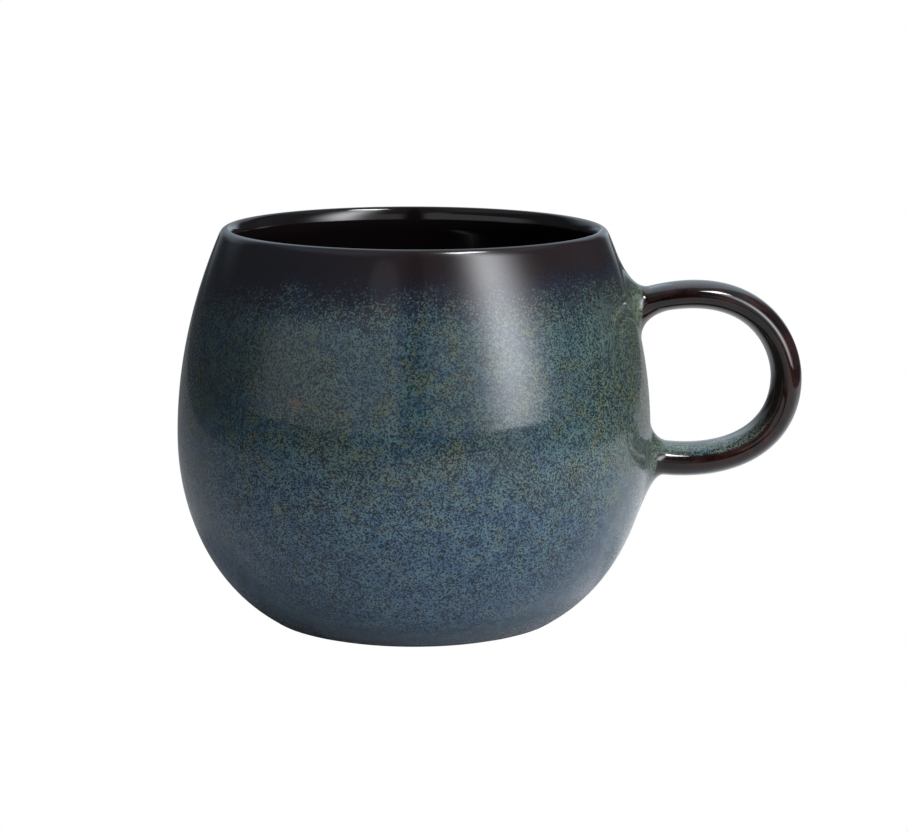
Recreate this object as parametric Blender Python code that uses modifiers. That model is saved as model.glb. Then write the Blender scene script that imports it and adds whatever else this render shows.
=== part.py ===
"""A round-bellied stoneware mug with a loop handle, standing on a bare clay foot ring.

Metres, +Z up. The origin is the middle of the overall box, at its underside, so the
cup's own axis stands a little to -X and the handle reaches out to +X.
"""

from math import atan, cos, pi, radians, sin, tan

import bmesh
import bpy
from mathutils import Vector

MM = 0.001

# The cup's outside: a lip, a shoulder curving out to the belly, and a heel curving in to the foot.
HEIGHT = 86.75 * MM
LIP_RADIUS = 41.2 * MM  # to the crest of the lip
LIP_OUTER_ROUNDING = (2.24 * MM, 4.63 * MM)  # across and down from the crest
LIP_INNER_ROUNDING = (1.6 * MM, 3.3 * MM)
LIP_LEAN = radians(23.1)  # the wall leans in by this much below the lip
BELLY_RADIUS = 52.5 * MM
BELLY_HEIGHT = 40.6 * MM
FOOT_RADIUS = 31.95 * MM
HEEL_ANGLE = radians(29.7)  # the wall's slope where it meets the ground
SHOULDER_FULLNESS = (0.435, 0.261)  # how far each end of the curve keeps its direction
HEEL_FULLNESS = (0.4015, 0.3916)

# The cup's inside.
BELLY_WALL = 3.8 * MM
FLOOR_THICKNESS = 4.5 * MM
FLOOR_RADIUS = 24.0 * MM  # flat middle of the inner floor
BASIN_FULLNESS = (0.55, 0.55)

# The foot ring, luted under the floor. Its outside carries on the cup's heel.
FOOT_RING_HEIGHT = 3.0 * MM
FOOT_RING_WIDTH = 3.4 * MM  # of the flat face that it stands on
FOOT_EDGE = 0.5 * MM  # rounding of the ring's lower edges
FOOT_RING_DRAFT = radians(20.0)  # slope of the ring's inner side

# The handle: one loop in the XZ plane, oval in section, broader than it is thick.
HANDLE_PROJECTION = 30.3 * MM  # from the belly to the middle of the grip
UPPER_ARM_BELOW_LIP = 17.2 * MM
LOWER_ARM_HEIGHT = 35.5 * MM
GRIP_SHARE = 0.516  # height of the grip's middle, between the two arms
UPPER_ARM_RISE = radians(17.7)
LOWER_ARM_DROP = radians(9.1)
UPPER_ARM_FULLNESS = (0.916, 0.523)
LOWER_ARM_FULLNESS = (0.731, 0.646)
UPPER_ARM_THICKNESS = 5.95 * MM
GRIP_THICKNESS = 6.75 * MM
LOWER_ARM_THICKNESS = 7.5 * MM
HANDLE_BREADTH = 1.8  # section's width over its thickness

# The collars of slip clay that join the handle to the wall.
JOINT_LENGTH = 3.6 * MM
JOINT_FLARE = 2.8 * MM  # how far a collar spreads past the handle, all round
JOINT_SWEEP = radians(72.0)  # how much of a quarter circle its hollow side makes
JOINT_ROOT = 4.0 * MM  # the collar starts this deep inside the wall, and is cut back

CLEARANCE = 0.3 * MM  # gap left between touching pieces
TURNED_STEPS = 64
RINGS_PER_ARM = 16
COLLAR_RINGS = 7
MERGE_DISTANCE = 0.001 * MM

BOWL_COLOUR = (0.085, 0.145, 0.165, 1.0)
HANDLE_COLOUR = (0.045, 0.022, 0.018, 1.0)
JOINT_COLOUR = (0.13, 0.17, 0.13, 1.0)
CLAY_COLOUR = (0.50, 0.41, 0.32, 1.0)

# The handle reaches further from the axis than the belly does on the other side.
HANDLE_REACH = BELLY_RADIUS + HANDLE_PROJECTION + GRIP_THICKNESS / 2
AXIS_X = (BELLY_RADIUS - HANDLE_REACH) / 2


def cubic(a, b, c, d, t):
    """The point at t, from 0 to 1, on the curve from a to d that b and c pull."""
    s = 1 - t
    return a * s**3 + b * (3 * s * s * t) + c * (3 * s * t * t) + d * t**3


def between(low, high, count):
    return [low + (high - low) * i / (count - 1) for i in range(count)]


def heading(angle):
    return Vector((cos(angle), sin(angle)))


# ---- Outlines: points are (distance from the cup's axis, height) ----

BELLY_POINT = Vector((BELLY_RADIUS, BELLY_HEIGHT))
INNER_BELLY = Vector((BELLY_RADIUS - BELLY_WALL, BELLY_HEIGHT))


def shoulder(lip_edge, belly):
    """Control points of a wall that leaves the lip at its lean and is upright at the belly."""
    rise = lip_edge.y - belly.y
    down_wall = Vector((sin(LIP_LEAN), -cos(LIP_LEAN)))
    lip_pull = lip_edge + down_wall * rise * SHOULDER_FULLNESS[0]
    belly_pull = belly + Vector((0, rise * SHOULDER_FULLNESS[1]))
    return lip_edge, lip_pull, belly_pull, belly


def lip_side(rounding, side, count=2):
    """From the crest down one side of the lip (1 is the outer), to where it has the wall's lean."""
    across, down = rounding
    last_turn = side * atan(tan(LIP_LEAN) * down / across)
    return [
        Vector((LIP_RADIUS + side * across * cos(turn), HEIGHT - down + down * sin(turn)))
        for turn in between(pi / 2, last_turn, count)
    ]


def outer_shoulder():
    return shoulder(lip_side(LIP_OUTER_ROUNDING, 1)[-1], BELLY_POINT)


def inner_shoulder():
    return shoulder(lip_side(LIP_INNER_ROUNDING, -1)[-1], INNER_BELLY)


def heel():
    foot = Vector((FOOT_RADIUS, 0))
    belly_pull = BELLY_POINT - Vector((0, BELLY_HEIGHT * HEEL_FULLNESS[0]))
    foot_pull = foot + heading(HEEL_ANGLE) * BELLY_HEIGHT * HEEL_FULLNESS[1]
    return BELLY_POINT, belly_pull, foot_pull, foot


def basin():
    floor = Vector((FLOOR_RADIUS, FOOT_RING_HEIGHT + FLOOR_THICKNESS))
    depth = INNER_BELLY.y - floor.y
    belly_pull = INNER_BELLY - Vector((0, depth * BASIN_FULLNESS[0]))
    floor_pull = floor + Vector(((INNER_BELLY.x - floor.x) * BASIN_FULLNESS[1], 0))
    return INNER_BELLY, belly_pull, floor_pull, floor


def curve_points(controls, count, start=0.0, end=1.0):
    return [cubic(*controls, t) for t in between(start, end, count)]


def share_at_height(controls, height):
    """How far down a falling curve it passes this height, from 0 at its top to 1."""
    low, high = 0.0, 1.0
    for _ in range(40):
        middle = (low + high) / 2
        if cubic(*controls, middle).y > height:
            low = middle
        else:
            high = middle
    return (low + high) / 2


def wall_radius(height):
    controls = outer_shoulder() if height > BELLY_HEIGHT else heel()
    return cubic(*controls, share_at_height(controls, height)).x


def lip_arc():
    """Over the lip from the inner side to the outer side, both ends left out."""
    inner = lip_side(LIP_INNER_ROUNDING, -1, 7)
    outer = lip_side(LIP_OUTER_ROUNDING, 1, 5)
    return inner[-2::-1] + outer[1:-1]


def outer_wall(lowest):
    """Down the outside, from the lip to the height of the wall's lowest point."""
    low_share = share_at_height(heel(), lowest)
    return curve_points(outer_shoulder(), 12) + curve_points(heel(), 12, end=low_share)[1:]


def offset_outwards(points, distance):
    """Moves each point of a downward outline away from the cup, square to the outline."""
    moved = []
    for i, point in enumerate(points):
        along = points[min(i + 1, len(points) - 1)] - points[max(i - 1, 0)]
        moved.append(point + Vector((-along.y, along.x)).normalized() * distance)
    return moved


def bowl_outline():
    inner = curve_points(inner_shoulder(), 10) + curve_points(basin(), 10)[1:]
    outer = outer_wall(FOOT_RING_HEIGHT)
    floor_centre = Vector((0, inner[-1].y))
    base_centre = Vector((0, outer[-1].y))
    return [floor_centre] + inner[::-1] + lip_arc() + outer + [base_centre]


def foot_ring_outline():
    top = FOOT_RING_HEIGHT - CLEARANCE
    shares = [share_at_height(heel(), height) for height in (top, FOOT_EDGE)]
    outer = curve_points(heel(), 4, *shares)
    stand_outer = Vector((FOOT_RADIUS - 2 * FOOT_EDGE, 0))
    corner = Vector((FOOT_RADIUS, 0))
    outer_edge = [
        outer[-1] * (1 - t) ** 2 + corner * (2 * t * (1 - t)) + stand_outer * t**2
        for t in (0.33, 0.67, 1.0)
    ]
    stand_inner = stand_outer - Vector((FOOT_RING_WIDTH, 0))
    inner_low = stand_inner + Vector((-FOOT_EDGE, FOOT_EDGE))
    inner_high = Vector((inner_low.x - (top - FOOT_EDGE) * sin(FOOT_RING_DRAFT), top))
    return outer + outer_edge + [stand_inner, inner_low, inner_high]


# ---- The handle's middle line, from the upper arm's root to the lower arm's ----


def handle_spans():
    upper_height = HEIGHT - UPPER_ARM_BELOW_LIP
    grip_height = LOWER_ARM_HEIGHT + (upper_height - LOWER_ARM_HEIGHT) * GRIP_SHARE
    upper_root = Vector((wall_radius(upper_height), upper_height))
    lower_root = Vector((wall_radius(LOWER_ARM_HEIGHT), LOWER_ARM_HEIGHT))
    grip = Vector((BELLY_RADIUS + HANDLE_PROJECTION, grip_height))
    upper_pull = heading(UPPER_ARM_RISE) * HANDLE_PROJECTION * UPPER_ARM_FULLNESS[0]
    lower_pull = heading(-LOWER_ARM_DROP) * HANDLE_PROJECTION * LOWER_ARM_FULLNESS[1]
    above_grip = Vector((0, (upper_height - grip_height) * UPPER_ARM_FULLNESS[1]))
    below_grip = Vector((0, (grip_height - LOWER_ARM_HEIGHT) * LOWER_ARM_FULLNESS[0]))
    return (
        (upper_root, upper_root + upper_pull, grip + above_grip, grip),
        (grip, grip - below_grip, lower_root + lower_pull, lower_root),
    )


def handle_line():
    """Close points along the middle line, each with its distance from the upper root."""
    upper, lower = handle_spans()
    points = curve_points(upper, 150) + curve_points(lower, 150)[1:]
    lengths = [0.0]
    for a, b in zip(points, points[1:]):
        lengths.append(lengths[-1] + (b - a).length)
    return points, lengths


LINE_POINTS, LINE_LENGTHS = handle_line()
LINE_LENGTH = LINE_LENGTHS[-1]
GRIP_DISTANCE = LINE_LENGTHS[len(LINE_LENGTHS) // 2]


def line_point(distance):
    """The middle line at a distance from its upper root, carried straight on past its ends."""
    if distance < 0:
        start, after = LINE_POINTS[:2]
        return start + (after - start).normalized() * distance
    if distance > LINE_LENGTH:
        before, end = LINE_POINTS[-2:]
        return end + (end - before).normalized() * (distance - LINE_LENGTH)
    i = 1
    while LINE_LENGTHS[i] < distance:
        i += 1
    share = (distance - LINE_LENGTHS[i - 1]) / (LINE_LENGTHS[i] - LINE_LENGTHS[i - 1])
    return LINE_POINTS[i - 1].lerp(LINE_POINTS[i], share)


def half_thickness(distance):
    """Of the handle, which thickens evenly from its upper root to the grip and on to its lower root."""
    if distance < GRIP_DISTANCE:
        share = max(distance, 0.0) / GRIP_DISTANCE
        thickness = UPPER_ARM_THICKNESS + (GRIP_THICKNESS - UPPER_ARM_THICKNESS) * share
    else:
        share = (min(distance, LINE_LENGTH) - GRIP_DISTANCE) / (LINE_LENGTH - GRIP_DISTANCE)
        thickness = GRIP_THICKNESS + (LOWER_ARM_THICKNESS - GRIP_THICKNESS) * share
    return thickness / 2


# ---- Making the objects ----


def clear_scene():
    for old in list(bpy.data.objects):
        bpy.data.objects.remove(old, do_unlink=True)


def collection(name, hidden=False):
    made = bpy.data.collections.new(name)
    bpy.context.scene.collection.children.link(made)
    made.hide_render = hidden
    return made


def material(name, colour, roughness):
    made = bpy.data.materials.new(name)
    made.use_nodes = True
    shader = made.node_tree.nodes["Principled BSDF"]
    shader.inputs["Base Color"].default_value = colour
    shader.inputs["Roughness"].default_value = roughness
    shader.inputs["Metallic"].default_value = 0.0
    made.diffuse_color = colour
    return made


def turned(name, outline, home, finish=None, closed=False):
    """Turns an outline of (radius, height) points round the cup's axis."""
    mesh = bpy.data.meshes.new(name)
    last = len(outline) - 1
    edges = [(i, i + 1) for i in range(last)]
    if closed:
        edges.append((last, 0))
    mesh.from_pydata([(point.x, 0, point.y) for point in outline], edges, [])
    made = bpy.data.objects.new(name, mesh)
    made.location = (AXIS_X, 0, 0)
    home.objects.link(made)
    if finish:
        mesh.materials.append(finish)
    screw = made.modifiers.new("Turn", "SCREW")
    screw.steps = TURNED_STEPS
    screw.render_steps = TURNED_STEPS
    screw.use_merge_vertices = True
    screw.merge_threshold = MERGE_DISTANCE
    screw.use_smooth_shade = True
    return made


def oval_bar(name, distances, half_sizes, breadths, home, finish):
    """A bar along the handle's line: a round curve made a mesh, then broadened in Y."""
    curve = bpy.data.curves.new(name, "CURVE")
    curve.dimensions = "3D"
    curve.twist_mode = "MINIMUM"
    curve.bevel_depth = MM
    curve.bevel_resolution = 5
    curve.use_fill_caps = True
    spline = curve.splines.new("POLY")
    spline.points.add(len(distances) - 1)
    for point, distance, half_size in zip(spline.points, distances, half_sizes):
        place = line_point(distance)
        point.co = (place.x, 0, place.y, 1)
        point.radius = half_size / MM
    guide = bpy.data.objects.new(name + "_guide", curve)
    home.objects.link(guide)
    graph = bpy.context.evaluated_depsgraph_get()
    mesh = bpy.data.meshes.new_from_object(guide.evaluated_get(graph))
    bpy.data.objects.remove(guide, do_unlink=True)
    mesh.name = name

    shape = bmesh.new()
    shape.from_mesh(mesh)
    bmesh.ops.remove_doubles(shape, verts=shape.verts, dist=MERGE_DISTANCE)
    stations = [line_point(distance) for distance in distances]
    for vertex in shape.verts:
        place = Vector((vertex.co.x, vertex.co.z))
        nearest = min(range(len(stations)), key=lambda i: (stations[i] - place).length)
        vertex.co.y *= breadths[nearest]
    bmesh.ops.recalc_face_normals(shape, faces=shape.faces)
    shape.to_mesh(mesh)
    shape.free()
    mesh.shade_smooth()
    mesh.set_sharp_from_angle(angle=radians(50))
    mesh.materials.append(finish)

    made = bpy.data.objects.new(name, mesh)
    made.location = (AXIS_X, 0, 0)
    home.objects.link(made)
    return made


def handle_bar(home, finish):
    upper_arm = between(JOINT_LENGTH, GRIP_DISTANCE, RINGS_PER_ARM)
    lower_arm = between(GRIP_DISTANCE, LINE_LENGTH - JOINT_LENGTH, RINGS_PER_ARM)
    distances = upper_arm + lower_arm[1:]
    half_sizes = [half_thickness(distance) for distance in distances]
    breadths = [HANDLE_BREADTH] * len(distances)
    return oval_bar("handle", distances, half_sizes, breadths, home, finish)


def collar_section(turn):
    """(distance from the wall, spread past the handle) on the hollow side, by its arc's turn."""
    distance = (JOINT_LENGTH - CLEARANCE) * (1 - sin(turn) / sin(JOINT_SWEEP))
    spread = JOINT_FLARE * (1 - cos(turn)) / (1 - cos(JOINT_SWEEP))
    return distance, spread


def joint_collar(name, from_root, home, finish, cutter):
    """A flared collar of slip between the wall and the handle's end, trimmed to the wall.

    from_root turns a distance from the wall into one along the handle's middle line.
    """
    inside_wall = (-JOINT_ROOT, JOINT_FLARE)
    flared = [collar_section(turn) for turn in between(JOINT_SWEEP, 0, COLLAR_RINGS)]
    distances = []
    half_sizes = []
    breadths = []
    for from_wall, spread in [inside_wall] + flared:
        distance = from_root(from_wall)
        handle_size = half_thickness(distance)
        distances.append(distance)
        half_sizes.append(handle_size + spread)
        breadths.append((handle_size * HANDLE_BREADTH + spread) / (handle_size + spread))
    collar = oval_bar(name, distances, half_sizes, breadths, home, finish)
    cut = collar.modifiers.new("Meets the wall", "BOOLEAN")
    cut.operation = "DIFFERENCE"
    cut.object = cutter
    return collar


def from_upper_root(distance):
    return distance


def from_lower_root(distance):
    return LINE_LENGTH - distance


def wall_cutter(home):
    """The cup's full outside, a clearance larger, which trims what meets the wall."""
    outside = offset_outwards(outer_wall(FOOT_RING_HEIGHT), CLEARANCE)
    top_centre = Vector((0, outside[0].y))
    base_centre = Vector((0, outside[-1].y))
    cutter = turned("wall_cutter", [top_centre] + outside + [base_centre], home)
    cutter.hide_render = True
    cutter.display_type = "WIRE"
    return cutter


def main():
    clear_scene()
    mug = collection("ceramic_mug")
    cutters = collection("cutters", hidden=True)
    bowl_glaze = material("bowl_glaze", BOWL_COLOUR, 0.18)
    handle_glaze = material("handle_glaze", HANDLE_COLOUR, 0.12)
    upper_joint_glaze = material("upper_joint_glaze", JOINT_COLOUR, 0.15)
    lower_joint_glaze = material("lower_joint_glaze", JOINT_COLOUR, 0.15)
    bare_clay = material("bare_clay", CLAY_COLOUR, 0.85)

    turned("bowl", bowl_outline(), mug, bowl_glaze)
    turned("foot_ring", foot_ring_outline(), mug, bare_clay, closed=True)
    handle_bar(mug, handle_glaze)
    cutter = wall_cutter(cutters)
    joint_collar("upper_handle_joint", from_upper_root, mug, upper_joint_glaze, cutter)
    joint_collar("lower_handle_joint", from_lower_root, mug, lower_joint_glaze, cutter)


main()
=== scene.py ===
import math

import bmesh
import bpy
from mathutils import Euler, Matrix, Vector


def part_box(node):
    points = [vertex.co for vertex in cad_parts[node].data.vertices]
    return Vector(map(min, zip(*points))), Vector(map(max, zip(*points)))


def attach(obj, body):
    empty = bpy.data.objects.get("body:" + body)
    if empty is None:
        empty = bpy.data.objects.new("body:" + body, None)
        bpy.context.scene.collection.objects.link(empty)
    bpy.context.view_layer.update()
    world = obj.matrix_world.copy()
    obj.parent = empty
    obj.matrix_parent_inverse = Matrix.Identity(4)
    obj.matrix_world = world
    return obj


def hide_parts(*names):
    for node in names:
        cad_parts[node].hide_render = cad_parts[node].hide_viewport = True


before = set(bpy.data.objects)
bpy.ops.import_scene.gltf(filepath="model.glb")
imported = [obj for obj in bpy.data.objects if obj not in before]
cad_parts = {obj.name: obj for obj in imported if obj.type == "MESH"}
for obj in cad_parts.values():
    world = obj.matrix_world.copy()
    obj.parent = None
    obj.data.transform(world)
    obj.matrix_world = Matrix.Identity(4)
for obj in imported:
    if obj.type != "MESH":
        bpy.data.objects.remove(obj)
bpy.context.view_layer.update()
print("frame loaded:", ", ".join(sorted(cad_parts)))

mm = 0.001

bowlLow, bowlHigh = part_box("bowl")
_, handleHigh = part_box("handle")
axisX = (bowlLow.x + bowlHigh.x) / 2  # the cup's own axis, in the row frame
axisY = (bowlLow.y + bowlHigh.y) / 2

cup = {
    "lipRadius": 41.2 * mm,  # to the crest of the lip
    "lipOuterRounding": (2.24 * mm, 4.63 * mm),  # across and down from the crest
    "lipInnerRounding": (1.6 * mm, 3.3 * mm),
    "lipLean": math.radians(23.1),
    "bellyHeight": 40.6 * mm,
    "footRadius": 31.95 * mm,
    "heelAngle": math.radians(29.7),
    "shoulderFullness": (0.435, 0.261),  # how far the curve is pulled from each end
    "heelFullness": (0.4015, 0.3916),
    "wall": 3.8 * mm,
    "floorHeight": 7.5 * mm,
    "floorRadius": 24.0 * mm,
    "basinFullness": (0.55, 0.55),
    "glazeEdge": 0.55 * mm,  # height where the glaze stops, above the table
    "glazeEdgeWave": 0.12 * mm,
    "glazeRoll": 0.32 * mm,  # radius of the thin roll that the glaze ends in
    "recessHeight": 3.0 * mm,  # glazed ceiling inside the foot ring
    "turns": 288,
}
cupHeight = bowlHigh.z
bellyRadius = (bowlHigh.y - bowlLow.y) / 2


def cubic(a, b, c, d, t):
    s = 1 - t
    return a * s**3 + b * (3 * s * s * t) + c * (3 * s * t * t) + d * t**3


def steps(low, high, count):
    return [low + (high - low) * i / (count - 1) for i in range(count)]


def heading(angle):
    return Vector((math.cos(angle), math.sin(angle)))


def lipSide(rounding, side, count=2):
    # from the crest down one side of the lip (1 is the outer), to where it has the wall's lean
    across, down = rounding
    lastTurn = side * math.atan(math.tan(cup["lipLean"]) * down / across)
    return [
        Vector((cup["lipRadius"] + side * across * math.cos(turn),
                cupHeight - down + down * math.sin(turn)))
        for turn in steps(math.pi / 2, lastTurn, count)
    ]


def shoulder(lipEdge, belly):
    rise = lipEdge.y - belly.y
    downWall = Vector((math.sin(cup["lipLean"]), -math.cos(cup["lipLean"])))
    early, late = cup["shoulderFullness"]
    return lipEdge, lipEdge + downWall * rise * early, belly + Vector((0, rise * late)), belly


outerShoulder = shoulder(
    lipSide(cup["lipOuterRounding"], 1)[-1], Vector((bellyRadius, cup["bellyHeight"]))
)
innerShoulder = shoulder(
    lipSide(cup["lipInnerRounding"], -1)[-1],
    Vector((bellyRadius - cup["wall"], cup["bellyHeight"])),
)
heel = (
    Vector((bellyRadius, cup["bellyHeight"])),
    Vector((bellyRadius, cup["bellyHeight"] * (1 - cup["heelFullness"][0]))),
    Vector((cup["footRadius"], 0))
    + heading(cup["heelAngle"]) * cup["bellyHeight"] * cup["heelFullness"][1],
    Vector((cup["footRadius"], 0)),
)


def basin():
    top = innerShoulder[3]
    floor = Vector((cup["floorRadius"], cup["floorHeight"]))
    drop = (top.y - floor.y) * cup["basinFullness"][0]
    run = (top.x - floor.x) * cup["basinFullness"][1]
    return top, top - Vector((0, drop)), floor + Vector((run, 0)), floor


def curvePoints(controls, count, start=0.0, end=1.0):
    return [cubic(*controls, t) for t in steps(start, end, count)]


def shareAtHeight(controls, height):
    low, high = 0.0, 1.0
    for _ in range(40):
        middle = (low + high) / 2
        if cubic(*controls, middle).y > height:
            low = middle
        else:
            high = middle
    return (low + high) / 2


def wallRadius(height):
    controls = outerShoulder if height > cup["bellyHeight"] else heel
    return cubic(*controls, shareAtHeight(controls, height)).x


def bowlOutline():
    # from the middle of the inner floor, up, over the lip, down the outside and under
    floorRun = [Vector((r, cup["floorHeight"])) for r in steps(0, cup["floorRadius"], 12)]
    inner = curvePoints(innerShoulder, 56)[1:] + curvePoints(basin(), 44)[1:]
    innerLip = lipSide(cup["lipInnerRounding"], -1, 28)[-2::-1]
    lip = innerLip + lipSide(cup["lipOuterRounding"], 1, 24)[1:]
    edgeShare = shareAtHeight(heel, cup["glazeEdge"])
    outer = curvePoints(outerShoulder, 70)[1:] + curvePoints(heel, 70, end=edgeShare)[1:]
    edge = outer[-1]
    roll = cup["glazeRoll"]
    rollCentre = edge + Vector((-roll * 0.45, roll * 0.75))
    under = [rollCentre + heading(turn) * roll for turn in steps(-0.9, -2.6, 7)]
    hiddenStep = [
        Vector((edge.x - 1.6 * mm, 1.6 * mm)),
        Vector((ringInnerTop() + 1.5 * mm, 2.6 * mm)),
    ]
    ceiling = [
        Vector((r, cup["recessHeight"] + 0.25 * mm * (1 - (r / ringInnerTop()) ** 2)))
        for r in steps(ringInnerTop() + 0.6 * mm, 0, 24)
    ]
    return floorRun[:-1] + inner[::-1] + lip + outer + under + hiddenStep + ceiling


clayFoot = {
    "glazeMeets": (0.25 * mm, 0.62 * mm),  # outwards and up from the heel's end
    "standOuter": 0.85 * mm,  # the flat stand's two edges, in from the foot's radius
    "standInner": 4.4 * mm,
    "innerRounding": 0.5 * mm,
    "innerLean": 1.25 * mm,  # the inner side leans in by this much on its way up
    "height": 3.4 * mm,
}


def ringInnerTop():
    return standInner() - clayFoot["innerLean"]


def standInner():
    return cup["footRadius"] - clayFoot["standInner"]


def footRingOutline():
    # the bare clay ring: its stand, its rounded edges and its sloping inner side
    edge = heel[3] + Vector(clayFoot["glazeMeets"])
    standOuter = Vector((cup["footRadius"] - clayFoot["standOuter"], 0))
    corner = Vector((cup["footRadius"] - 0.1 * mm, 0.02 * mm))
    outer = [
        edge * (1 - t) ** 2 + corner * (2 * t * (1 - t)) + standOuter * t**2
        for t in steps(0, 1, 9)
    ]
    stand = [Vector((r, 0)) for r in steps(standOuter.x, standInner(), 9)][1:]
    rounding, height = clayFoot["innerRounding"], clayFoot["height"]
    lowInner = Vector((standInner() - rounding, rounding))
    turnIn = [
        stand[-1] * (1 - t) ** 2
        + Vector((lowInner.x + 0.08 * mm, 0)) * (2 * t * (1 - t))
        + lowInner * t**2
        for t in steps(0, 1, 7)
    ][1:]
    highInner = Vector((ringInnerTop(), height))
    side = [lowInner.lerp(highInner, t) for t in steps(0, 1, 8)][1:]
    hidden = [Vector((cup["footRadius"] - 1.6 * mm, height))]
    loop = outer + stand + turnIn + side + hidden
    return loop + loop[:1]


class Tree:
    # adds nodes to a tree in one call each, and links what is passed in

    def __init__(self, tree):
        self.tree = tree

    def add(self, kind, inputs=None, **settings):
        node = self.tree.nodes.new(kind)
        for key, value in settings.items():
            setattr(node, key, value)
        for key, value in (inputs or {}).items():
            self.put(node.inputs[key], value)
        return node

    def put(self, socket, value):
        if isinstance(value, bpy.types.NodeSocket):
            self.tree.links.new(value, socket)
        elif value is not None:
            socket.default_value = value

    def math(self, operation, a, b=None, c=None):
        node = self.tree.nodes.new("ShaderNodeMath")
        node.operation = operation
        for socket, value in zip(node.inputs, (a, b, c)):
            self.put(socket, value)
        return node.outputs[0]

    def plus(self, a, b):
        return self.math("ADD", a, b)

    def minus(self, a, b):
        return self.math("SUBTRACT", a, b)

    def times(self, a, b):
        return self.math("MULTIPLY", a, b)

    def vectorMath(self, operation, a, b=None, scale=None):
        node = self.tree.nodes.new("ShaderNodeVectorMath")
        node.operation = operation
        self.put(node.inputs[0], a)
        self.put(node.inputs[1], b)
        if scale is not None:
            self.put(node.inputs["Scale"], scale)
        isNumber = operation in ("DOT_PRODUCT", "LENGTH", "DISTANCE")
        return node.outputs["Value" if isNumber else 0]

    def ramp(self, value, low, high, outLow=0.0, outHigh=1.0, smooth=True):
        node = self.tree.nodes.new("ShaderNodeMapRange")
        node.interpolation_type = "SMOOTHSTEP" if smooth else "LINEAR"
        for name, entry in (
            ("Value", value), ("From Min", low), ("From Max", high),
            ("To Min", outLow), ("To Max", outHigh),
        ):
            self.put(node.inputs[name], entry)
        return node.outputs[0]

    def mixColour(self, factor, a, b, blend="MIX"):
        node = self.tree.nodes.new("ShaderNodeMix")
        node.data_type = "RGBA"
        node.blend_type = blend
        node.clamp_factor = True
        self.put(node.inputs[0], factor)
        self.put(node.inputs[6], a if isinstance(a, bpy.types.NodeSocket) else (*a, 1.0))
        self.put(node.inputs[7], b if isinstance(b, bpy.types.NodeSocket) else (*b, 1.0))
        return node.outputs[2]

    def noise(self, vector, scale, detail=2.0, roughness=0.5):
        node = self.tree.nodes.new("ShaderNodeTexNoise")
        for name, entry in (
            ("Vector", vector), ("Scale", scale), ("Detail", detail), ("Roughness", roughness),
        ):
            self.put(node.inputs[name], entry)
        return node.outputs["Fac"]


def newGeometryTree(name, sockets):
    group = bpy.data.node_groups.new(name, "GeometryNodeTree")
    group.interface.new_socket("Geometry", in_out="INPUT", socket_type="NodeSocketGeometry")
    for socketName, kind, value in sockets:
        socket = group.interface.new_socket(socketName, in_out="INPUT", socket_type=kind)
        if value is not None:
            socket.default_value = value
    group.interface.new_socket("Geometry", in_out="OUTPUT", socket_type="NodeSocketGeometry")
    tree = Tree(group)
    return group, tree, tree.add("NodeGroupInput"), tree.add("NodeGroupOutput")


def ringGrid(tree, source, around):
    # a grid with one row for each point of the outline and one column for each step round.
    # Gives the grid's mesh, the row number and the turn, from 0 to a full circle
    counted = tree.add("GeometryNodeAttributeDomainSize", {"Geometry": source})
    rows = counted.outputs["Point Count"]
    columns = tree.plus(around, 1.0)
    grid = tree.add("GeometryNodeMeshGrid", {"Vertices X": columns, "Vertices Y": rows})
    index = tree.add("GeometryNodeInputIndex").outputs[0]
    column = tree.math("FLOOR", tree.math("DIVIDE", tree.plus(index, 0.5), rows))
    row = tree.minus(index, tree.times(column, rows))
    turn = tree.times(tree.math("DIVIDE", column, around), 2 * math.pi)
    return grid.outputs["Mesh"], row, turn


def sampled(tree, source, kind, value, row):
    node = tree.add("GeometryNodeSampleIndex", data_type=kind, domain="POINT")
    tree.put(node.inputs["Geometry"], source)
    tree.put(node.inputs["Value"], value)
    tree.put(node.inputs["Index"], row)
    return node.outputs[0]


def finishTree(tree, mesh, position, group, material):
    moved = tree.add("GeometryNodeSetPosition", {"Geometry": mesh, "Position": position})
    merged = tree.add(
        "GeometryNodeMergeByDistance", {"Geometry": moved.outputs[0], "Distance": 0.002 * mm}
    )
    smooth = tree.add("GeometryNodeSetShadeSmooth", {"Geometry": merged.outputs[0]})
    real = tree.add("GeometryNodeRealizeInstances", {"Geometry": smooth.outputs[0]})
    painted = tree.add(
        "GeometryNodeSetMaterial", {"Geometry": real.outputs[0], "Material": material}
    )
    tree.put(group.inputs["Geometry"], painted.outputs[0])


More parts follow.
